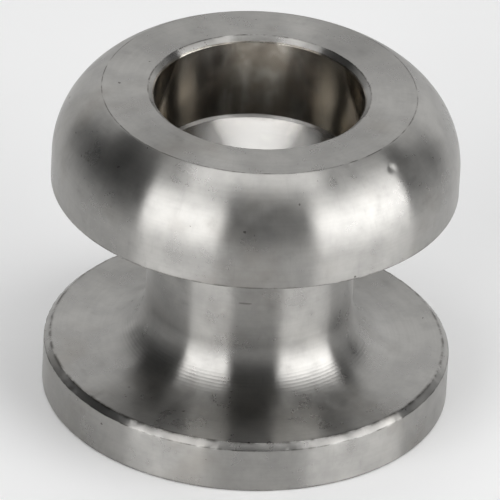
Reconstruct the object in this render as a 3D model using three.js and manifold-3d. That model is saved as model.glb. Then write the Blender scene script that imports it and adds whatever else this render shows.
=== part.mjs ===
// A through-hull fitting turned from stainless bar: a flanged barrel, and a mushroom head that screws into it.
// The skin of the hull is clamped between the barrel's flange and the underside of the head.
// Millimetres, +Z up along the bore. The origin is the centre of the flange's underside.
import * as THREE from "three";
import { mergeVertices } from "three/addons/utils/BufferGeometryUtils.js";
import Module from "manifold-3d";

const wasm = await Module();
wasm.setup();

// Outer form: both flanges have one diameter, and the neck between them is about half of it.
const RIM_R = 20;
const NECK_R = 10.2;
const HEIGHT = 33.5;
const FLANGE_T = 5.25;
const FILLET_R = 5.2;
const UNDERSIDE_Z = 23.2;

// Mushroom head: a flat annular top, a shoulder that is one arc, and a straight land above a sharp lower rim.
const SHOULDER_R = 8.6;
const SHOULDER_Z = 25.9;
const COUNTERBORE_R = 10.33;
const COUNTERBORE_MOUTH_R = 10.9;
const LEDGE_Z = 24.5;
const LEDGE_W = 0.25;
const CONE_SLOPE = Math.tan(THREE.MathUtils.degToRad(28));
const THROAT_R = 5;

// Edge breaks and chamfers.
const RIM_BREAK = 0.15;
const FLANGE_CHAMFER = 0.58;
const EDGE_BREAK = 0.25;

// Screw joint: a right-hand thread on the head's spigot, in a matching groove in the barrel.
const PITCH = 2;
const FLANK_SLOPE = Math.tan(THREE.MathUtils.degToRad(30));
const CORE_R = 7.6;
const CREST_R = 8.5;
const RIDGE_ROOT_W = 1.4;
const THREAD_GAP = 0.2;
const MINOR_R = 7.9;
const MAJOR_R = 8.85;
const THREAD_START_Z = 10;
const THREAD_END_Z = 21;
const RUN_OUT_TURNS = 0.5;

// Spigot below the head: shank, threaded core, and a nose with an O-ring groove.
const SHANK_R = 8.6;
const SHANK_Z = 22.3;
const SHANK_CHAMFER = 0.25;
const NOSE_R = 7.5;
const NOSE_TOP_Z = 9;
const NOSE_Z = 5.2;
const RING_GROOVE_R = 6.2;
const RING_GROOVE_W = 1.8;
const RING_Z = 7.4;
const RING_MEAN_R = 7.1;
const RING_CORD_R = 0.6;

// Barrel bore and the mouth of its thread. Faces that bear on each other are drawn one gap apart.
const GAP = 0.3;
const MOUTH_R = 8.95;
const MOUTH_DEPTH = 1;
const BORE_LEDGE_Z = 4.7;

// Gasket and friction washer, in an annular recess in the underside of the head.
const RECESS_INNER_R = 12.2;
const RECESS_OUTER_R = 16.6;
const RECESS_DEPTH = 2.9;
const WASHER_T = 0.8;
const GASKET_PROUD = 0.4;

// Facets round every turned surface, and in each arc of a profile.
const SEGMENTS = 48;
const ARC_STEPS = 8;

const STAINLESS = { color: 0x8c8a84, roughness: 0.34, metalness: 1 };
const RUBBER = { color: 0x1b1c1d, roughness: 0.78, metalness: 0 };
const ACETAL = { color: 0xd9d6cc, roughness: 0.5, metalness: 0 };

const point = (r, z) => new THREE.Vector2(r, z);

// Profile points on an arc round (r, z), from one angle to another, in degrees.
function arc(r, z, radius, from, to) {
  return Array.from({ length: ARC_STEPS + 1 }, (_, i) => {
    const angle = THREE.MathUtils.degToRad(from + ((to - from) * i) / ARC_STEPS);
    return point(r + radius * Math.cos(angle), z + radius * Math.sin(angle));
  });
}

function toSolid(geometry) {
  geometry.deleteAttribute("normal");
  geometry.deleteAttribute("uv");
  const merged = mergeVertices(geometry, 1e-4);
  const vertProperties = merged.attributes.position.array;
  const triVerts = new Uint32Array(merged.index.array);
  return new wasm.Manifold(new wasm.Mesh({ numProp: 3, vertProperties, triVerts }));
}

// A closed profile, listed upwards on its outer side, turned round the Z axis.
function turned(profile) {
  const geometry = new THREE.LatheGeometry([...profile, profile[0]], SEGMENTS);
  geometry.rotateX(Math.PI / 2);
  return toSolid(geometry);
}

// Half the width of the thread's ridge at a radius, before any gap.
const ridgeHalfWidth = (r) => RIDGE_ROOT_W / 2 - (r - CORE_R) * FLANK_SLOPE;

// A straight bar with the section of the thread, wound into a right-hand helix that passes through the
// height z at z / PITCH turns. Its crest sinks to its root at the ends that run out.
function helix({ rootR, crestR, gap, startZ, endZ, runsOutAtTop }) {
  const section = new THREE.Shape([
    point(rootR, -ridgeHalfWidth(rootR) - gap),
    point(crestR, -ridgeHalfWidth(crestR) - gap),
    point(crestR, ridgeHalfWidth(crestR) + gap),
    point(rootR, ridgeHalfWidth(rootR) + gap),
  ]);
  const turns = (endZ - startZ) / PITCH;
  const steps = Math.round(turns * SEGMENTS);
  const geometry = new THREE.ExtrudeGeometry(section, { depth: turns, steps, bevelEnabled: false });
  const position = geometry.getAttribute("position");
  for (let i = 0; i < position.count; i++) {
    const turn = position.getZ(i);
    const fromEnd = runsOutAtTop ? Math.min(turn, turns - turn) : turn;
    const fade = Math.min(1, 0.05 + fromEnd / RUN_OUT_TURNS);
    const r = rootR + (position.getX(i) - rootR) * fade;
    const angle = 2 * Math.PI * (startZ / PITCH + turn);
    position.setXYZ(i, r * Math.cos(angle), r * Math.sin(angle), startZ + PITCH * turn - position.getY(i));
  }
  return toSolid(geometry);
}

function flangedBarrel() {
  const topZ = UNDERSIDE_Z - GAP;
  const mouthZ = topZ - MOUTH_DEPTH;
  const body = turned([
    point(THROAT_R + EDGE_BREAK, 0),
    point(RIM_R - EDGE_BREAK, 0),
    point(RIM_R, EDGE_BREAK),
    point(RIM_R, FLANGE_T - FLANGE_CHAMFER),
    point(RIM_R - FLANGE_CHAMFER, FLANGE_T),
    ...arc(NECK_R + FILLET_R, FLANGE_T + FILLET_R, FILLET_R, 270, 180),
    point(NECK_R, topZ - EDGE_BREAK),
    point(NECK_R - EDGE_BREAK, topZ),
    point(MOUTH_R, topZ),
    point(MOUTH_R, mouthZ),
    point(MINOR_R, mouthZ - (MOUTH_R - MINOR_R)),
    point(MINOR_R, BORE_LEDGE_Z),
    point(THROAT_R, BORE_LEDGE_Z),
    point(THROAT_R, EDGE_BREAK),
  ]);
  const groove = helix({
    rootR: MINOR_R - 0.4,
    crestR: MAJOR_R,
    gap: THREAD_GAP / Math.cos(Math.atan(FLANK_SLOPE)),
    startZ: THREAD_START_Z - PITCH * RUN_OUT_TURNS,
    endZ: THREAD_END_Z + PITCH / 2,
    runsOutAtTop: false,
  });
  return body.subtract(groove);
}

function mushroomHead() {
  const shoulderCentreR = RIM_R - SHOULDER_R;
  const creaseAngle = THREE.MathUtils.radToDeg(Math.asin((HEIGHT - SHOULDER_Z) / SHOULDER_R));
  const mouthChamfer = COUNTERBORE_MOUTH_R - COUNTERBORE_R;
  const coneR = COUNTERBORE_R - LEDGE_W;
  const coneBottomZ = LEDGE_Z - (coneR - THROAT_R) * CONE_SLOPE;
  const recessZ = UNDERSIDE_Z + RECESS_DEPTH;
  const body = turned([
    point(THROAT_R, NOSE_Z),
    point(NOSE_R - EDGE_BREAK, NOSE_Z),
    point(NOSE_R, NOSE_Z + EDGE_BREAK),
    point(NOSE_R, RING_Z - RING_GROOVE_W / 2),
    point(RING_GROOVE_R, RING_Z - RING_GROOVE_W / 2),
    point(RING_GROOVE_R, RING_Z + RING_GROOVE_W / 2),
    point(NOSE_R, RING_Z + RING_GROOVE_W / 2),
    point(NOSE_R, NOSE_TOP_Z),
    point(CORE_R, NOSE_TOP_Z + CORE_R - NOSE_R),
    point(CORE_R, SHANK_Z - (SHANK_R - CORE_R)),
    point(SHANK_R, SHANK_Z),
    point(SHANK_R, UNDERSIDE_Z - SHANK_CHAMFER),
    point(SHANK_R + SHANK_CHAMFER, UNDERSIDE_Z),
    point(RECESS_INNER_R, UNDERSIDE_Z),
    point(RECESS_INNER_R, recessZ),
    point(RECESS_OUTER_R, recessZ),
    point(RECESS_OUTER_R, UNDERSIDE_Z),
    point(RIM_R - RIM_BREAK, UNDERSIDE_Z),
    point(RIM_R, UNDERSIDE_Z + RIM_BREAK),
    ...arc(shoulderCentreR, SHOULDER_Z, SHOULDER_R, 0, creaseAngle),
    point(COUNTERBORE_MOUTH_R, HEIGHT),
    point(COUNTERBORE_R, HEIGHT - mouthChamfer),
    point(COUNTERBORE_R, LEDGE_Z + LEDGE_W),
    point(coneR, LEDGE_Z),
    point(THROAT_R, coneBottomZ),
  ]);
  const ridge = helix({
    rootR: CORE_R - 0.3,
    crestR: CREST_R,
    gap: 0,
    startZ: THREAD_START_Z,
    endZ: THREAD_END_Z,
    runsOutAtTop: true,
  });
  return body.add(ridge);
}

// A flat ring that lies in the recess, one gap clear of both its walls.
function recessRing(bottomZ, topZ) {
  return turned([
    point(RECESS_INNER_R + GAP, bottomZ),
    point(RECESS_OUTER_R - GAP, bottomZ),
    point(RECESS_OUTER_R - GAP, topZ),
    point(RECESS_INNER_R + GAP, topZ),
  ]);
}

const washerTopZ = UNDERSIDE_Z + RECESS_DEPTH - GAP;
const washerBottomZ = washerTopZ - WASHER_T;

function spigotRing() {
  const geometry = new THREE.TorusGeometry(RING_MEAN_R, RING_CORD_R, 8, SEGMENTS);
  geometry.translate(0, 0, RING_Z);
  return toSolid(geometry);
}

function named(name, solid, finish) {
  const { vertProperties, triVerts } = solid.getMesh();
  const geometry = new THREE.BufferGeometry();
  geometry.setAttribute("position", new THREE.BufferAttribute(vertProperties, 3));
  geometry.setIndex(new THREE.BufferAttribute(triVerts, 1));
  geometry.computeVertexNormals();
  const mesh = new THREE.Mesh(geometry, new THREE.MeshStandardMaterial(finish));
  mesh.name = name;
  return mesh;
}

// The head and its O-ring turn together.
const head = new THREE.Group();
head.add(
  named("mushroom_head", mushroomHead(), STAINLESS),
  named("spigot_o_ring", spigotRing(), RUBBER),
);

const sealStack = new THREE.Group();
sealStack.add(
  named("friction_washer", recessRing(washerBottomZ, washerTopZ), ACETAL),
  named("hull_gasket", recessRing(UNDERSIDE_Z - GASKET_PROUD, washerBottomZ - GAP), RUBBER),
);

const fitting = new THREE.Group();
fitting.add(named("flanged_barrel", flangedBarrel(), STAINLESS), sealStack, head);

export default fitting;
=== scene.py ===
import math

import bmesh
import bpy
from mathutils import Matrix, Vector, noise

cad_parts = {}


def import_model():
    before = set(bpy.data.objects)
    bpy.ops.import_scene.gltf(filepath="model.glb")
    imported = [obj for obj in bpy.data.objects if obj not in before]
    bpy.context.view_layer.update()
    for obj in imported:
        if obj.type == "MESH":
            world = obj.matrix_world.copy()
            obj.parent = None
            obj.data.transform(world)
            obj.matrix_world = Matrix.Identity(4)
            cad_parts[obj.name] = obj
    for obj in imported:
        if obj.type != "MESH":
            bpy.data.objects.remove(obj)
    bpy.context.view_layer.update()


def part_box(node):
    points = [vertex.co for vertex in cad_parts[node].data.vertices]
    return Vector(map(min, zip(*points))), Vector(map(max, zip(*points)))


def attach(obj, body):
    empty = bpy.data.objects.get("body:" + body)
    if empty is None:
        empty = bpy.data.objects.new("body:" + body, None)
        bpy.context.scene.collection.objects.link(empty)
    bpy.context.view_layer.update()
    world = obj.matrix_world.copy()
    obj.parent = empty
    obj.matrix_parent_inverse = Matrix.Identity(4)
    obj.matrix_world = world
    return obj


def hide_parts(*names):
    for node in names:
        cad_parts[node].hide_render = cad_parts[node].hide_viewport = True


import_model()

# Blender works in metres. The profiles below are in millimetres, and MM turns them into metres.
MM = 0.001
TAU = 2 * math.pi

# The outer sizes come from the frame.
barrel_low, barrel_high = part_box("flanged_barrel")
head_low, head_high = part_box("mushroom_head")
gasket_low, gasket_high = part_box("hull_gasket")
washer_low, washer_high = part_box("friction_washer")
ring_low, ring_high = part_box("spigot_o_ring")
RIM_R = head_high.x / MM
TOP_Z = head_high.z / MM
NOSE_Z = head_low.z / MM
NECK_TOP_Z = barrel_high.z / MM
RING_Z = (ring_low.z + ring_high.z) / 2 / MM

# Sizes inside those boxes.
NECK_R = 10.2
FLANGE_T = 5.25
FLANGE_CHAMFER = 0.58
FILLET_R = 5.2
UNDERSIDE_Z = 23.2
SHOULDER_R = 8.6
SHOULDER_Z = 25.9
COUNTERBORE_R = 10.33
COUNTERBORE_MOUTH_R = 10.9
LEDGE_Z = 24.5
LEDGE_W = 0.25
CONE_SLOPE = math.tan(math.radians(28))
THROAT_R = 5.0
RECESS_INNER_R = 12.2
RECESS_OUTER_R = 16.6
RECESS_DEPTH = 2.9
RECESS_GAP = 0.3

# The head's spigot, and the barrel's bore that it screws into.
SHANK_R = 8.6
SHANK_Z = 22.3
SHANK_CHAMFER = 0.25
NOSE_R = 7.5
NOSE_TOP_Z = 9.0
RING_GROOVE_R = 6.2
RING_GROOVE_W = 1.8
BARREL_MOUTH_R = 8.95
BARREL_MOUTH_Z = NECK_TOP_Z - 1
BORE_LEDGE_Z = 4.7

# The thread rises one pitch a turn: a ridge on the spigot, and a groove in the barrel. The half widths of each
# are at its root and at its crest.
PITCH = 2.0
CORE_R = 7.6
CREST_R = 8.5
RIDGE_HALF_WIDTHS = (0.7, 0.18)
RIDGE_LOW_Z = NOSE_TOP_Z + 0.6
RIDGE_HIGH_Z = SHANK_Z - (SHANK_R - CORE_R) - 0.2
MINOR_R = 7.9
MAJOR_R = 8.85
GROOVE_HALF_WIDTHS = (0.76, 0.21)
GROOVE_LOW_Z = 8.6
GROOVE_HIGH_Z = BARREL_MOUTH_Z - (BARREL_MOUTH_R - MAJOR_R)

# How finely the pieces are turned: quads round the axis, and points along the profiles.
SEGMENTS = 360
STEP = 1.0
NEAR_EDGE = 0.03
EDGE_STEPS = 4
SHOULDER_STEPS = 48
FILLET_STEP_DEGREES = 1.25
CORD_STEPS = 40

# Rings that the tool left low in the fillet: where they start and end on its arc in degrees, and their size.
RINGS_START = 203
RINGS_END = 241
RING_PITCH = 0.34
RING_DEPTH = 0.009
POINTS_PER_RING = 8

# Wear of the flange's chamfer: how far it reaches from an edge, and how deep it is.
WEAR_REACH = 0.32
WAVER_DEPTH = 0.11
DENT_DEPTH = 0.3

# Nicks in the head: degrees round from the camera's side, radius and height of the middle, size, and depth.
HEAD_NICKS = (
    (35, 15.4, 33.5, 0.5, 0.12),
    (50, 17.2, 32.2, 0.45, 0.07),
    (56, 18.3, 31.0, 0.4, 0.06),
    (61, 19.6, 28.6, 0.5, 0.08),
    (63, 19.8, 27.9, 0.4, 0.07),
    (45, 20.0, 25.4, 0.35, 0.06),
    (-62, 19.9, 24.6, 0.6, 0.06),
    (-42, 18.6, 30.6, 0.35, 0.05),
    (-100, 19.0, 29.6, 0.45, 0.06),
    (12, 19.4, 29.2, 0.3, 0.04),
    (150, 19.2, 29.4, 0.5, 0.08),
    (-140, 20.0, 26.2, 0.5, 0.07),
    (178, 17.8, 31.6, 0.4, 0.06),
    (100, 19.7, 28.4, 0.45, 0.06),
)
NICK_GRAIN = 3.1
NICK_INWARD = 0.6
NICK_DOWNWARD = 0.8


# ---------------------------------------------------------------- profiles

def arc_point(r, z, radius, angle):
    """A sharp point of a profile, at an angle in degrees on the circle round (r, z)."""
    a = math.radians(angle)
    return r + radius * math.cos(a), z + radius * math.sin(a), 0


def arc(r, z, radius, start, end, steps):
    """Points of a profile on an arc round (r, z), angles in degrees."""
    return [arc_point(r, z, radius, start + (end - start) * i / steps) for i in range(steps + 1)]


def softened(corners):
    """A closed profile of (r, z, edge radius), with each edge of a radius over 0 turned into a small arc."""
    points = []
    count = len(corners)
    for i, (r, z, radius) in enumerate(corners):
        here = Vector((r, z))
        if radius <= 0:
            points.append(here)
            continue
        before = (Vector(corners[i - 1][:2]) - here).normalized()
        after = (Vector(corners[(i + 1) % count][:2]) - here).normalized()
        half = before.angle(after) / 2
        reach = radius / math.tan(half)
        centre = here + (before + after).normalized() * (radius / math.sin(half))
        first = here + before * reach - centre
        last = here + after * reach - centre
        start = math.atan2(first.y, first.x)
        sweep = (math.atan2(last.y, last.x) - start + math.pi) % TAU - math.pi
        for k in range(EDGE_STEPS + 1):
            a = start + sweep * k / EDGE_STEPS
            points.append(centre + radius * Vector((math.cos(a), math.sin(a))))
    return points


def spaced(points):
    """The closed profile with points no further apart than STEP, and one close to each end of a straight."""
    out = []
    for i, here in enumerate(points):
        there = points[(i + 1) % len(points)]
        length = (there - here).length
        out.append(here)
        if length < STEP:
            continue
        inner = length - 2 * NEAR_EDGE
        pieces = max(1, math.ceil(inner / STEP))
        stops = [NEAR_EDGE] + [NEAR_EDGE + inner * k / pieces for k in range(1, pieces + 1)]
        out += [here.lerp(there, stop / length) for stop in stops]
    return out


def same(a, b):
    return (a - b).length < 1e-9


def spaced_open(points):
    """spaced for an open run of points: the same, without the leg back to the start."""
    closed = spaced(points)
    last = max(i for i, p in enumerate(closed) if same(p, points[-1]))
    return closed[: last + 1]


class Turning:
    """A mesh turned round Z, ring by ring along its profile, with the distance along it kept at each vertex.
    A wear function says where each point (r, z) at an angle lies once the piece is worn."""

    def __init__(self, wear=None):
        self.wear = wear
        self.bm = bmesh.new()
        self.along = self.bm.verts.layers.float.new("along")
        self.rings = []
        self.distance = 0.0
        self.last = None

    def vertex(self, r, z, angle):
        if self.wear:
            r, z = self.wear(r, z, angle)
        made = self.bm.verts.new((r * math.cos(angle) * MM, r * math.sin(angle) * MM, z * MM))
        made[self.along] = self.distance
        return made

    def ring(self, r, z):
        if self.last is not None:
            self.distance += math.dist(self.last, (r, z))
        self.last = (r, z)
        made = [self.vertex(r, z, TAU * i / SEGMENTS) for i in range(SEGMENTS)]
        if self.rings:
            self.bridge(self.rings[-1], made)
        self.rings.append(made)

    def bridge(self, lower, upper):
        for i in range(SEGMENTS):
            j = (i + 1) % SEGMENTS
            self.bm.faces.new((lower[i], lower[j], upper[j], upper[i]))

    def profile(self, points):
        for p in points:
            self.ring(p[0], p[1])

    def close(self):
        self.bridge(self.rings[-1], self.rings[0])

    def thread(self, root, crest, half_widths, low, high, opening=None):
        """A helical ridge, or a groove where crest is the outer wall, from the height low to the height high.
        Its first and last rows are plain rings, and it sinks to them over half a turn. Above an opening's
        height the root widens at 45 degrees instead, until it meets the crest."""
        half_root, half_crest = half_widths
        rising = low < high
        bottom, top = min(low, high), max(low, high)
        run_out = PITCH / 2
        bands = [
            (-PITCH / 2, root), (-half_root, root), (-half_crest, crest),
            (half_crest, crest), (half_root, root),
        ]
        first_turn = math.floor(bottom / PITCH) - 2
        turns = math.ceil((top - bottom) / PITCH) + 4
        made = {}

        def key(i, z):
            return i % SEGMENTS, round(z * 1e6)

        def radius_at(r, z):
            fade = min(1.0, (z - bottom) / run_out)
            if opening is None:
                fade = min(fade, (top - z) / run_out)
                return root + (r - root) * fade
            return max(root + (r - root) * fade, root + (z - opening))

        def point(i, k):
            offset, r = bands[k % len(bands)]
            centre = PITCH * (first_turn + k // len(bands) + i / SEGMENTS)
            z = min(max(centre + offset, bottom), top)
            place = key(i, z)
            if place not in made:
                made[place] = self.vertex(radius_at(r, z), z, TAU * i / SEGMENTS)
                made[place][self.along] = self.distance + abs(z - low)
            return made[place]

        for i in range(SEGMENTS):
            for k in range(turns * len(bands) - 1):
                corners = [point(i, k), point(i + 1, k), point(i + 1, k + 1), point(i, k + 1)]
                unique = [v for n, v in enumerate(corners) if v is not corners[n - 1]]
                if len(unique) > 2 and len(set(unique)) == len(unique):
                    self.bm.faces.new(unique if rising else unique[::-1])
        start, end = ([made[key(i, z)] for i in range(SEGMENTS)] for z in (low, high))
        self.bridge(self.rings[-1], start)
        self.rings += [start, end]
        self.distance += top - bottom
        self.last = (root, high)

    def threaded_profile(self, points, start, *thread):
        """A whole closed profile, with a thread between its point start and the one after it."""
        split = next(i for i, p in enumerate(points) if same(p, Vector(start)))
        self.profile(spaced_open(points[: split + 1])[:-1])
        self.thread(*thread)
        self.profile(spaced_open(points[split + 1:] + [points[0]])[1:-1])
        self.close()

    def finish(self, name):
        self.bm.normal_update()
        mesh = bpy.data.meshes.new(name)
        self.bm.to_mesh(mesh)
        self.bm.free()
        mesh.shade_smooth()
        made = bpy.data.objects.new(name, mesh)
        bpy.context.scene.collection.objects.link(made)
        return made


# ---------------------------------------------------------------- pieces

def crease_angle():
    """Where the shoulder's arc meets the flat top, in radians up from its level."""
    return math.asin((TOP_Z - SHOULDER_Z) / SHOULDER_R)


def head_piece():
    """The mushroom head with its counterbore, cone, gasket recess and threaded spigot.
    Each corner is its radius, its height and the radius of its edge."""
    recess_z = UNDERSIDE_Z + RECESS_DEPTH
    cone_r = COUNTERBORE_R - LEDGE_W
    cone_end_z = LEDGE_Z - (cone_r - THROAT_R) * CONE_SLOPE
    mouth_chamfer = COUNTERBORE_MOUTH_R - COUNTERBORE_R
    ring_groove_z = RING_Z - RING_GROOVE_W / 2
    crease = math.degrees(crease_angle())
    corners = [
        (THROAT_R, NOSE_Z, 0.1),
        (NOSE_R, NOSE_Z, 0.25),
        (NOSE_R, ring_groove_z, 0.1),
        (RING_GROOVE_R, ring_groove_z, 0.15),
        (RING_GROOVE_R, ring_groove_z + RING_GROOVE_W, 0.15),
        (NOSE_R, ring_groove_z + RING_GROOVE_W, 0.1),
        (NOSE_R, NOSE_TOP_Z, 0),
        (CORE_R, NOSE_TOP_Z + CORE_R - NOSE_R, 0),
        (CORE_R, RIDGE_LOW_Z, 0),
        (CORE_R, RIDGE_HIGH_Z, 0),
        (CORE_R, SHANK_Z - (SHANK_R - CORE_R), 0),
        (SHANK_R, SHANK_Z, 0.1),
        (SHANK_R, UNDERSIDE_Z - SHANK_CHAMFER, 0.05),
        (SHANK_R + SHANK_CHAMFER, UNDERSIDE_Z, 0.05),
        (RECESS_INNER_R, UNDERSIDE_Z, 0.12),
        (RECESS_INNER_R, recess_z, 0.15),
        (RECESS_OUTER_R, recess_z, 0.15),
        (RECESS_OUTER_R, UNDERSIDE_Z, 0.12),
        (RIM_R, UNDERSIDE_Z, 0.13),
        *arc(RIM_R - SHOULDER_R, SHOULDER_Z, SHOULDER_R, 0, crease, SHOULDER_STEPS),
        (COUNTERBORE_MOUTH_R, TOP_Z, 0.04),
        (COUNTERBORE_R, TOP_Z - mouth_chamfer, 0.05),
        (COUNTERBORE_R, LEDGE_Z + LEDGE_W, 0.03),
        (cone_r, LEDGE_Z, 0.03),
        (THROAT_R, cone_end_z, 0.15),
    ]
    made = Turning(nicked_head)
    made.threaded_profile(
        softened(corners), (CORE_R, RIDGE_LOW_Z),
        CORE_R, CREST_R, RIDGE_HALF_WIDTHS, RIDGE_LOW_Z, RIDGE_HIGH_Z,
    )
    return made.finish("mushroom_head_turned")


def nicked_head(r, z, angle):
    """Where a point of the head lies once its nicks are in it: each one pushes the surface in and down."""
    above_rim = UNDERSIDE_Z + 0.2
    if r < COUNTERBORE_R or z < above_rim:
        return r, z
    here = Vector((r * math.cos(angle), r * math.sin(angle), z))
    depth = 0.0
    for azimuth, middle_r, middle_z, size, deepest in HEAD_NICKS:
        a = math.radians(azimuth - 90)
        middle = Vector((middle_r * math.cos(a), middle_r * math.sin(a), middle_z))
        reach = 1 - (here - middle).length / size
        if reach > 0:
            ragged = 0.7 + 0.6 * noise.noise(here * NICK_GRAIN)
            depth += deepest * ragged * reach * (2 - reach)
    return r - depth * NICK_INWARD, z - depth * NICK_DOWNWARD


def knocked_chamfer(r, z, angle):
    """Where a point of the barrel lies once its chamfer is knocked about: both edges waver, and are dented.
    The lower edge takes its noise from another height, so that the two edges differ."""
    upper = math.dist((r, z), (RIM_R - FLANGE_CHAMFER, FLANGE_T))
    lower = math.dist((r, z), (RIM_R, FLANGE_T - FLANGE_CHAMFER))
    reach = 1 - min(upper, lower) / WEAR_REACH
    if reach <= 0:
        return r, z
    place = Vector((math.cos(angle), math.sin(angle), 0)) * RIM_R
    if lower < upper:
        place.z = 7.0
    elsewhere = Vector((31, 0, 0))
    waver = WAVER_DEPTH * max(0.0, noise.noise(place * 1.1) + 0.4 * noise.noise(place * 2.7))
    dent = DENT_DEPTH * max(0.0, noise.noise(place * 0.8 + elsewhere) - 0.3)
    depth = (waver + dent) * reach * math.sqrt(0.5)
    return r - depth, z - depth


def ringed_fillet():
    """The fillet from the flange up to the neck, with the rings that the tool left in it."""
    degrees_per_mm = math.degrees(1 / FILLET_R)
    centre_r, centre_z = NECK_R + FILLET_R, FLANGE_T + FILLET_R
    points = []
    angle = 270.0
    while angle > 180:
        depth = 0.0
        step = FILLET_STEP_DEGREES
        if RINGS_START < angle < RINGS_END:
            swell = math.sin(math.pi * (angle - RINGS_START) / (RINGS_END - RINGS_START))
            phase = TAU * (angle - RINGS_START) / (RING_PITCH * degrees_per_mm)
            depth = RING_DEPTH * swell * (1 - abs(math.cos(phase / 2)))
            step = RING_PITCH * degrees_per_mm / POINTS_PER_RING
        points.append(arc_point(centre_r, centre_z, FILLET_R + depth, angle))
        angle -= step
    points.append(arc_point(centre_r, centre_z, FILLET_R, 180))
    return points


def barrel_piece():
    """The flange, its filleted neck and the bore with the groove of the thread.
    Each corner is its radius, its height and the radius of its edge."""
    chamfer_low_z = FLANGE_T - FLANGE_CHAMFER
    chamfer_top_r = RIM_R - FLANGE_CHAMFER
    beside_chamfer = 0.2
    corners = [
        (THROAT_R, 0, 0.25),
        (RIM_R, 0, 0.25),
        (RIM_R, chamfer_low_z - beside_chamfer, 0),
        (RIM_R, chamfer_low_z, 0.06),
        (RIM_R - FLANGE_CHAMFER / 2, FLANGE_T - FLANGE_CHAMFER / 2, 0),
        (chamfer_top_r, FLANGE_T, 0.06),
        (chamfer_top_r - beside_chamfer, FLANGE_T, 0),
        *ringed_fillet(),
        (NECK_R, NECK_TOP_Z, 0.2),
        (BARREL_MOUTH_R, NECK_TOP_Z, 0.1),
        (BARREL_MOUTH_R, BARREL_MOUTH_Z, 0.1),
        (MAJOR_R, GROOVE_HIGH_Z, 0),
        (MINOR_R, GROOVE_LOW_Z, 0),
        (MINOR_R, BORE_LEDGE_Z, 0.2),
        (THROAT_R, BORE_LEDGE_Z, 0.2),
    ]
    opening = BARREL_MOUTH_Z - (BARREL_MOUTH_R - MINOR_R)
    made = Turning(knocked_chamfer)
    made.threaded_profile(
        softened(corners), (MAJOR_R, GROOVE_HIGH_Z),
        MINOR_R, MAJOR_R, GROOVE_HALF_WIDTHS, GROOVE_HIGH_Z, GROOVE_LOW_Z, opening,
    )
    return made.finish("flanged_barrel_turned")


def recess_ring(name, low, high, edge):
    """A flat ring in the head's recess, with soft edges, between the corners of a node's box."""
    inner, outer = RECESS_INNER_R + RECESS_GAP, high.x / MM
    bottom, top = low.z / MM, high.z / MM
    made = Turning()
    made.profile(spaced(softened([
        (inner, bottom, edge), (outer, bottom, edge), (outer, top, edge), (inner, top, edge),
    ])))
    made.close()
    return made.finish(name)


def o_ring(name):
    """The spigot's O-ring, round in section, with the fine parting line of its mould inside and outside."""
    parting_line = 0.02
    cord = (ring_high.z - ring_low.z) / 2 / MM
    mean = ring_high.x / MM - cord
    made = Turning()
    for i in range(CORD_STEPS):
        a = TAU * i / CORD_STEPS - math.pi / 2
        on_line = i in (CORD_STEPS // 4, CORD_STEPS * 3 // 4)
        radius = cord - parting_line + (parting_line if on_line else 0)
        made.ring(mean + radius * math.cos(a), RING_Z + radius * math.sin(a))
    made.close()
    return made.finish(name)


# ---------------------------------------------------------------- materials

STEEL_DARK = (0.36, 0.353, 0.34, 1)
STEEL_LIGHT = (0.435, 0.426, 0.408, 1)
STEEL_SHADE = (0.28, 0.272, 0.26, 1)
CONE_STEEL = (0.39, 0.383, 0.372, 1)
TARNISH = (0.27, 0.248, 0.22, 1)
GRIME = (0.07, 0.065, 0.058, 1)
STAIN_DARK = (0.24, 0.22, 0.19, 1)
# Pale stain colour, and also the colour of the painted reflections of the lights in the counterbore.
STAIN_PALE_AND_PAINTED_REFLECTION = (0.66, 0.635, 0.575, 1)
STAIN_BROWN = (0.36, 0.31, 0.255, 1)
RUBBER_BLACK = (0.018, 0.018, 0.019, 1)
RUBBER_DUST = (0.05, 0.049, 0.046, 1)
ACETAL_DARK = (0.72, 0.7, 0.64, 1)
ACETAL_LIGHT = (0.8, 0.785, 0.74, 1)
FLOOR_DARK = (0.91, 0.91, 0.91, 1)
FLOOR_LIGHT = (0.93, 0.93, 0.93, 1)


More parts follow.
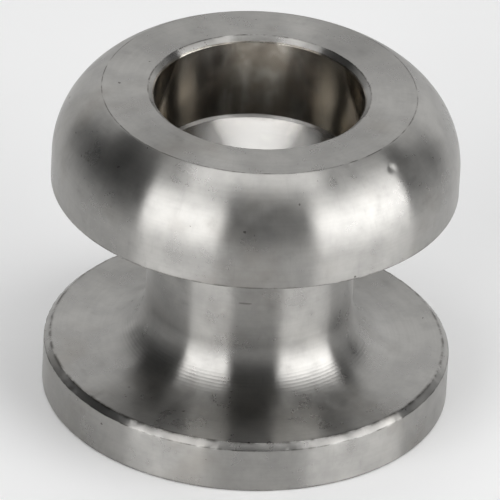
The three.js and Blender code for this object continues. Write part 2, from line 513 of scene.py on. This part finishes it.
class Nodes:
    """Short forms for building a material's nodes, and the object position in millimetres."""

    def __init__(self, name):
        self.material = bpy.data.materials.new(name)
        self.material.use_nodes = True
        self.tree = self.material.node_tree
        self.shader = self.tree.nodes["Principled BSDF"]
        scaled = self.new("ShaderNodeVectorMath", operation="SCALE")
        self.feed(scaled.inputs[0], self.new("ShaderNodeTexCoord").outputs["Object"])
        self.feed(scaled.inputs["Scale"], 1 / MM)
        self.position = scaled.outputs[0]

    def new(self, kind, **settings):
        node = self.tree.nodes.new(kind)
        for key, value in settings.items():
            setattr(node, key, value)
        return node

    def feed(self, socket, value):
        if isinstance(value, bpy.types.NodeSocket):
            self.tree.links.new(value, socket)
        else:
            socket.default_value = value

    def shade(self, name, value):
        """Feed an input of the shader."""
        self.feed(self.shader.inputs[name], value)

    def math(self, operation, a, b=0.0):
        node = self.new("ShaderNodeMath", operation=operation)
        self.feed(node.inputs[0], a)
        self.feed(node.inputs[1], b)
        return node.outputs[0]

    def ramp(self, value, low, high, to_low=0.0, to_high=1.0):
        """A smooth step from to_low, where the value is low, to to_high, where it is high."""
        node = self.new("ShaderNodeMapRange", interpolation_type="SMOOTHSTEP")
        keys = ("Value", "From Min", "From Max", "To Min", "To Max")
        for key, v in zip(keys, (value, low, high, to_low, to_high)):
            self.feed(node.inputs[key], v)
        return node.outputs[0]

    def noise(self, vector, scale, detail=2.0, roughness=0.5):
        node = self.new("ShaderNodeTexNoise")
        self.feed(node.inputs["Vector"], vector)
        self.feed(node.inputs["Scale"], scale)
        self.feed(node.inputs["Detail"], detail)
        self.feed(node.inputs["Roughness"], roughness)
        return node.outputs["Fac"]

    def mix(self, factor, a, b):
        node = self.new("ShaderNodeMix", data_type="RGBA")
        self.feed(node.inputs["Factor"], factor)
        self.feed(node.inputs["A"], a)
        self.feed(node.inputs["B"], b)
        return node.outputs["Result"]

    def shifted(self, distance):
        """The position moved along all three axes, for a noise that differs from another."""
        node = self.new("ShaderNodeVectorMath", operation="ADD")
        self.feed(node.inputs[0], self.position)
        self.feed(node.inputs[1], (distance, distance, distance))
        return node.outputs[0]

    def combine(self, x, y, z):
        node = self.new("ShaderNodeCombineXYZ")
        for socket, value in zip(node.inputs, (x, y, z)):
            self.feed(socket, value)
        return node.outputs[0]

    def bump(self, relief, strength, distance):
        node = self.new("ShaderNodeBump")
        self.feed(node.inputs["Strength"], strength)
        self.feed(node.inputs["Distance"], distance)
        self.feed(node.inputs["Height"], relief)
        self.shade("Normal", node.outputs[0])


class TurnedNodes(Nodes):
    """Nodes for a turned surface. They also hold the radius and the height in millimetres, the distance along
    the profile, and the x and y of a direction round the axis, of length one."""

    def __init__(self, name):
        super().__init__(name)
        split = self.new("ShaderNodeSeparateXYZ")
        self.feed(split.inputs[0], self.position)
        x, y, self.height = split.outputs
        squares = self.math("ADD", self.math("MULTIPLY", x, x), self.math("MULTIPLY", y, y))
        self.radius = self.math("SQRT", squares)
        self.along = self.new("ShaderNodeAttribute", attribute_name="along").outputs["Fac"]
        self.round_x = self.math("DIVIDE", x, self.radius)
        self.round_y = self.math("DIVIDE", y, self.radius)

    def streaks(self, round_scale, along_scale, detail=2.0):
        """Noise drawn out round the axis, as a tool leaves it."""
        vector = self.combine(
            self.math("MULTIPLY", self.round_x, round_scale),
            self.math("MULTIPLY", self.round_y, round_scale),
            self.math("MULTIPLY", self.along, along_scale),
        )
        return self.noise(vector, 1.0, detail)

    def near(self, value, place, width):
        """1 where a value is at a place, falling to 0 at a width from it."""
        return self.ramp(self.math("ABSOLUTE", self.math("SUBTRACT", value, place)), width, 0.0)

    def marks(self, spacing, size, stretch=(1, 1, 1), turn=(0, 0, 0), grain=5.0):
        """Scattered marks: 1 inside one, 0 outside. Spacing and size are in millimetres, a stretch under 1
        draws them out, and a smaller grain leaves their outline smoother."""
        mapping = self.new("ShaderNodeMapping")
        self.feed(mapping.inputs["Vector"], self.position)
        self.feed(mapping.inputs["Scale"], stretch)
        self.feed(mapping.inputs["Rotation"], turn)
        cells = self.new("ShaderNodeTexVoronoi")
        self.feed(cells.inputs["Vector"], mapping.outputs[0])
        self.feed(cells.inputs["Scale"], 1 / spacing)
        chance = self.new("ShaderNodeSeparateColor")
        self.feed(chance.inputs[0], cells.outputs["Color"])
        ragged = self.ramp(self.noise(self.position, grain), 0.3, 0.7, 0.4, 1.2)
        largest = self.ramp(chance.outputs[0], 0.2, 1.0, 0.0, size / spacing)
        return self.math("LESS_THAN", cells.outputs["Distance"], self.math("MULTIPLY", largest, ragged))


def tarnished(n, cloud, smudge, rings):
    """The steel's own colour: clouds of lighter and darker metal, tarnish, smudges and tool marks."""
    tarnish = n.noise(n.shifted(40.0), 0.12, 4.0, 0.55)
    hairlines = n.streaks(60.0, 0.5)
    base = n.mix(n.ramp(cloud, 0.36, 0.66), STEEL_DARK, STEEL_LIGHT)
    base = n.mix(n.ramp(tarnish, 0.54, 0.76, 0.0, 0.45), base, TARNISH)
    base = n.mix(n.ramp(smudge, 0.58, 0.76, 0.0, 0.3), base, STEEL_SHADE)
    base = n.mix(n.ramp(rings, 0.35, 0.7, 0.0, 0.1), base, STEEL_SHADE)
    return n.mix(n.ramp(hairlines, 0.55, 0.8, 0.0, 0.2), base, STEEL_SHADE)


def dirtied(n, base, pits, edges):
    """The colour with its pits, scratches of two directions, and grime in flecks along the edges."""
    scratches = n.math(
        "MAXIMUM",
        n.marks(2.0, 0.09, (0.12, 1, 1), (0.4, 0.3, 0.9), 0.3),
        n.marks(2.4, 0.09, (1, 1, 0.12), (0.5, 0.2, 0), 0.3),
    )
    flecks = n.ramp(n.noise(n.shifted(5.0), 0.5, 5.0, 0.7), 0.36, 0.62)
    grime = 0.0
    for edge_radius, edge_height, width in edges:
        at_radius = n.near(n.radius, edge_radius, width)
        at_edge = n.math("MULTIPLY", at_radius, n.near(n.height, edge_height, width))
        grime = n.math("MAXIMUM", grime, n.math("MULTIPLY", at_edge, flecks))
    base = n.mix(n.math("MULTIPLY", pits, 0.75), base, GRIME)
    base = n.mix(n.math("MULTIPLY", scratches, 0.45), base, GRIME)
    return n.mix(n.math("MULTIPLY", grime, 0.85), base, GRIME)


def stained_bore_with_painted_reflections(n, base, rough, smudge):
    """The colour and roughness with the counterbore's stain, which has columns and brown blotches, with two
    paler bands painted on the far wall as reflections of the lights, and with the cleaner, smoother metal of
    the cone."""
    wall = n.ramp(n.radius, COUNTERBORE_R + 0.2, COUNTERBORE_R + 0.02)
    in_bore = n.math("MULTIPLY", wall, n.ramp(n.height, LEDGE_Z + 0.25, LEDGE_Z + 0.4))
    column_x = n.math("MULTIPLY", n.round_x, 2.6)
    column_y = n.math("MULTIPLY", n.round_y, 2.6)
    column_z = n.math("MULTIPLY", n.height, 0.05)
    columns = n.noise(n.combine(column_x, column_y, column_z), 1.0, 3.0)
    blotch = n.noise(n.position, 0.35, 4.0, 0.6)
    stain = n.mix(n.ramp(columns, 0.38, 0.62), STAIN_DARK, STAIN_PALE_AND_PAINTED_REFLECTION)
    stain = n.mix(n.ramp(blotch, 0.4, 0.65, 0.0, 0.7), stain, STAIN_BROWN)
    # Painted reflections: two paler bands where the lights are mirrored, on the wall away from the camera.
    painted_reflection_bands = n.math("MAXIMUM", n.near(n.round_x, -0.72, 0.2), n.near(n.round_x, 0.68, 0.2))
    painted_reflection_bands = n.math("MULTIPLY", painted_reflection_bands, n.ramp(n.round_y, 0.3, 0.5, 0.0, 0.8))
    base = n.mix(in_bore, base, n.mix(painted_reflection_bands, stain, STAIN_PALE_AND_PAINTED_REFLECTION))

    cone_r = COUNTERBORE_R - LEDGE_W
    inside = n.ramp(n.radius, cone_r + 0.05, cone_r - 0.05)
    in_cone = n.math("MULTIPLY", inside, n.ramp(n.height, LEDGE_Z - 4.2, LEDGE_Z - 3.8))
    base = n.mix(in_cone, base, n.mix(n.ramp(smudge, 0.5, 0.72), CONE_STEEL, STEEL_LIGHT))
    smooth = n.math("MAXIMUM", in_cone, n.math("MULTIPLY", in_bore, 0.8))
    return base, n.math("SUBTRACT", rough, n.math("MULTIPLY", smooth, 0.13))


def stainless(name, edges, stain_and_painted_reflections=False):
    """Fine-turned stainless steel with the wear of use. Each edge is its radius, its height and how far the
    grime spreads from it. Reflections are drawn out across the tool marks, which run round the axis."""
    n = TurnedNodes(name)
    cloud = n.noise(n.position, 0.22, 5.0, 0.62)
    smudge = n.noise(n.shifted(11.0), 0.75, 4.0, 0.6)
    rings = n.streaks(1.2, 3.6, 0.6)
    pits = n.marks(2.6, 0.2)
    base = dirtied(n, tarnished(n, cloud, smudge, rings), pits, edges)
    rough = n.math("ADD", n.ramp(cloud, 0.3, 0.7, 0.265, 0.3), n.ramp(smudge, 0.4, 0.75, 0.0, 0.04))
    # The counterbore's stain, together with its painted reflections of the lights.
    if stain_and_painted_reflections:
        base, rough = stained_bore_with_painted_reflections(n, base, rough, smudge)
    n.shade("Base Color", base)
    n.shade("Metallic", 1.0)
    n.shade("Roughness", rough)
    n.shade("Anisotropic", 1.0)
    n.shade("Anisotropic Rotation", 0.25)
    n.shade("Tangent", n.new("ShaderNodeTangent", direction_type="RADIAL", axis="Z").outputs[0])
    n.bump(n.math("SUBTRACT", rings, pits), 0.5, 0.002 * MM)
    return n.material


def moulded_rubber(name):
    """Matt black rubber, a little dusty, with a fine moulded grain."""
    n = Nodes(name)
    dust = n.noise(n.position, 0.8, 4.0)
    grain = n.noise(n.position, 9.0)
    n.shade("Base Color", n.mix(n.ramp(dust, 0.4, 0.8), RUBBER_BLACK, RUBBER_DUST))
    n.shade("Roughness", n.ramp(dust, 0.3, 0.7, 0.6, 0.8))
    n.shade("Specular IOR Level", 0.4)
    n.bump(grain, 0.3, 0.03 * MM)
    return n.material


def machined_acetal(name):
    """Off-white plastic with faint rings from facing."""
    n = TurnedNodes(name)
    rings = n.streaks(3.0, 8.0)
    cloud = n.noise(n.position, 0.3, 3.0)
    n.shade("Base Color", n.mix(n.ramp(cloud, 0.3, 0.7), ACETAL_DARK, ACETAL_LIGHT))
    n.shade("Roughness", n.ramp(rings, 0.3, 0.7, 0.42, 0.55))
    n.shade("Subsurface Weight", 0.1)
    n.shade("Subsurface Scale", 0.5 * MM)
    n.bump(rings, 0.2, 0.02 * MM)
    return n.material


def floor_paint(name):
    n = Nodes(name)
    tone = n.noise(n.position, 0.02)
    n.shade("Base Color", n.mix(n.ramp(tone, 0.3, 0.7), FLOOR_DARK, FLOOR_LIGHT))
    n.shade("Roughness", 0.9)
    n.shade("Specular IOR Level", 0.2)
    return n.material


# ---------------------------------------------------------------- stage, lights and camera

TARGET = Vector((-0.00012, 0, 0.01535))
FLOOR_HALF = 1.5

CAMERA_ELEVATION = 31.53
CAMERA_DISTANCE = 1.2014
CAMERA_ROLL = 3.07
LENS_MM = 880.8
SENSOR_MM = 36

# Soft lights: azimuth and elevation, the width and height in degrees that each fills, and its power in watts.
LIGHT_DISTANCE = 0.8
LIGHTS = (
    ("left_front", -40, 19, 44, 40, 4.1),
    ("right_front", 64, 18, 57, 38, 5.9),
    ("overhead_front", 0, 83, 48, 24, 2.2),
    ("overhead_back", 0, 104, 60, 22, 0.8),
    ("behind", 180, 28, 90, 52, 3.1),
    ("behind_right", 145, 20, 40, 40, 0.15),
    ("far_right", 105, 14, 24, 28, 0.1),
)
SKY = (0.8, 0.9, 1, 1)
SKY_STRENGTH = 0.01


def away(azimuth, elevation, distance):
    """A place at a distance from the target. Azimuth 0 is towards the camera, and above 0 is to its right."""
    a, e = math.radians(azimuth), math.radians(elevation)
    direction = Vector((math.sin(a) * math.cos(e), -math.cos(a) * math.cos(e), math.sin(e)))
    return TARGET + distance * direction


def aim(thing, roll=0.0):
    """Turn a camera or a light towards the target, then roll it by so many degrees."""
    thing.rotation_euler = (TARGET - thing.location).to_track_quat("-Z", "Y").to_euler("XYZ")
    thing.rotation_euler.rotate_axis("Z", math.radians(roll))


def camera():
    data = bpy.data.cameras.new("camera")
    data.lens = LENS_MM
    data.sensor_width = SENSOR_MM
    data.clip_start, data.clip_end = 0.1, 10
    made = bpy.data.objects.new("camera", data)
    made.location = away(0, CAMERA_ELEVATION, CAMERA_DISTANCE)
    aim(made, CAMERA_ROLL)
    bpy.context.scene.collection.objects.link(made)
    bpy.context.scene.camera = made


def softbox(name, azimuth, elevation, width, height, power):
    """A soft area light. Its width and height are the angles that it fills as the object sees it."""
    data = bpy.data.lights.new(name, "AREA")
    data.shape = "RECTANGLE"
    data.size = 2 * LIGHT_DISTANCE * math.tan(math.radians(width / 2))
    data.size_y = 2 * LIGHT_DISTANCE * math.tan(math.radians(height / 2))
    data.energy = power
    made = bpy.data.objects.new(name, data)
    made.location = away(azimuth, elevation, LIGHT_DISTANCE)
    made.visible_camera = False
    aim(made)
    bpy.context.scene.collection.objects.link(made)


def stage():
    mesh = bpy.data.meshes.new("floor")
    bm = bmesh.new()
    bmesh.ops.create_grid(bm, x_segments=8, y_segments=8, size=FLOOR_HALF)
    bm.to_mesh(mesh)
    bm.free()
    floor = bpy.data.objects.new("floor", mesh)
    floor.data.materials.append(floor_paint("floor_paint"))
    bpy.context.scene.collection.objects.link(floor)


def world():
    made = bpy.data.worlds.new("world")
    made.use_nodes = True
    background = made.node_tree.nodes["Background"]
    background.inputs["Color"].default_value = SKY
    background.inputs["Strength"].default_value = SKY_STRENGTH
    bpy.context.scene.world = made


def dress(piece, material, body, node):
    piece.data.materials.append(material)
    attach(piece, body)
    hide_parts(node)


# ---------------------------------------------------------------- assembly

camera()
stage()
world()
for light in LIGHTS:
    softbox(*light)

# Edges that hold grime: radius, height, and how far it spreads.
crease_r = RIM_R - SHOULDER_R + SHOULDER_R * math.cos(crease_angle())
mouth_chamfer_z = TOP_Z - (COUNTERBORE_MOUTH_R - COUNTERBORE_R)
head_edges = [
    (crease_r, TOP_Z, 0.1),
    (RIM_R, UNDERSIDE_Z, 0.3),
    (COUNTERBORE_MOUTH_R, TOP_Z, 0.14),
    (COUNTERBORE_R, mouth_chamfer_z, 0.12),
]
barrel_edges = [
    (RIM_R - FLANGE_CHAMFER, FLANGE_T, 0.3),
    (RIM_R, FLANGE_T - FLANGE_CHAMFER, 0.12),
    (RIM_R, 0, 0.3),
    (NECK_R, NECK_TOP_Z, 0.5),
]

rubber = moulded_rubber("seal_rubber")
barrel = barrel_piece()
dress(barrel, stainless("stainless", barrel_edges), "barrel", "flanged_barrel")
head = head_piece()
# The head's steel has the counterbore stain and the painted reflections of the lights.
head_steel = stainless("stainless_head", head_edges, stain_and_painted_reflections=True)
dress(head, head_steel, "head", "mushroom_head")
dress(o_ring("spigot_o_ring_moulded"), rubber, "head", "spigot_o_ring")
gasket = recess_ring("hull_gasket_moulded", gasket_low, gasket_high, 0.2)
dress(gasket, rubber, "seal_stack", "hull_gasket")
washer = recess_ring("friction_washer_machined", washer_low, washer_high, 0.1)
dress(washer, machined_acetal("acetal"), "seal_stack", "friction_washer")

bpy.context.scene.view_settings.view_transform = "Standard"
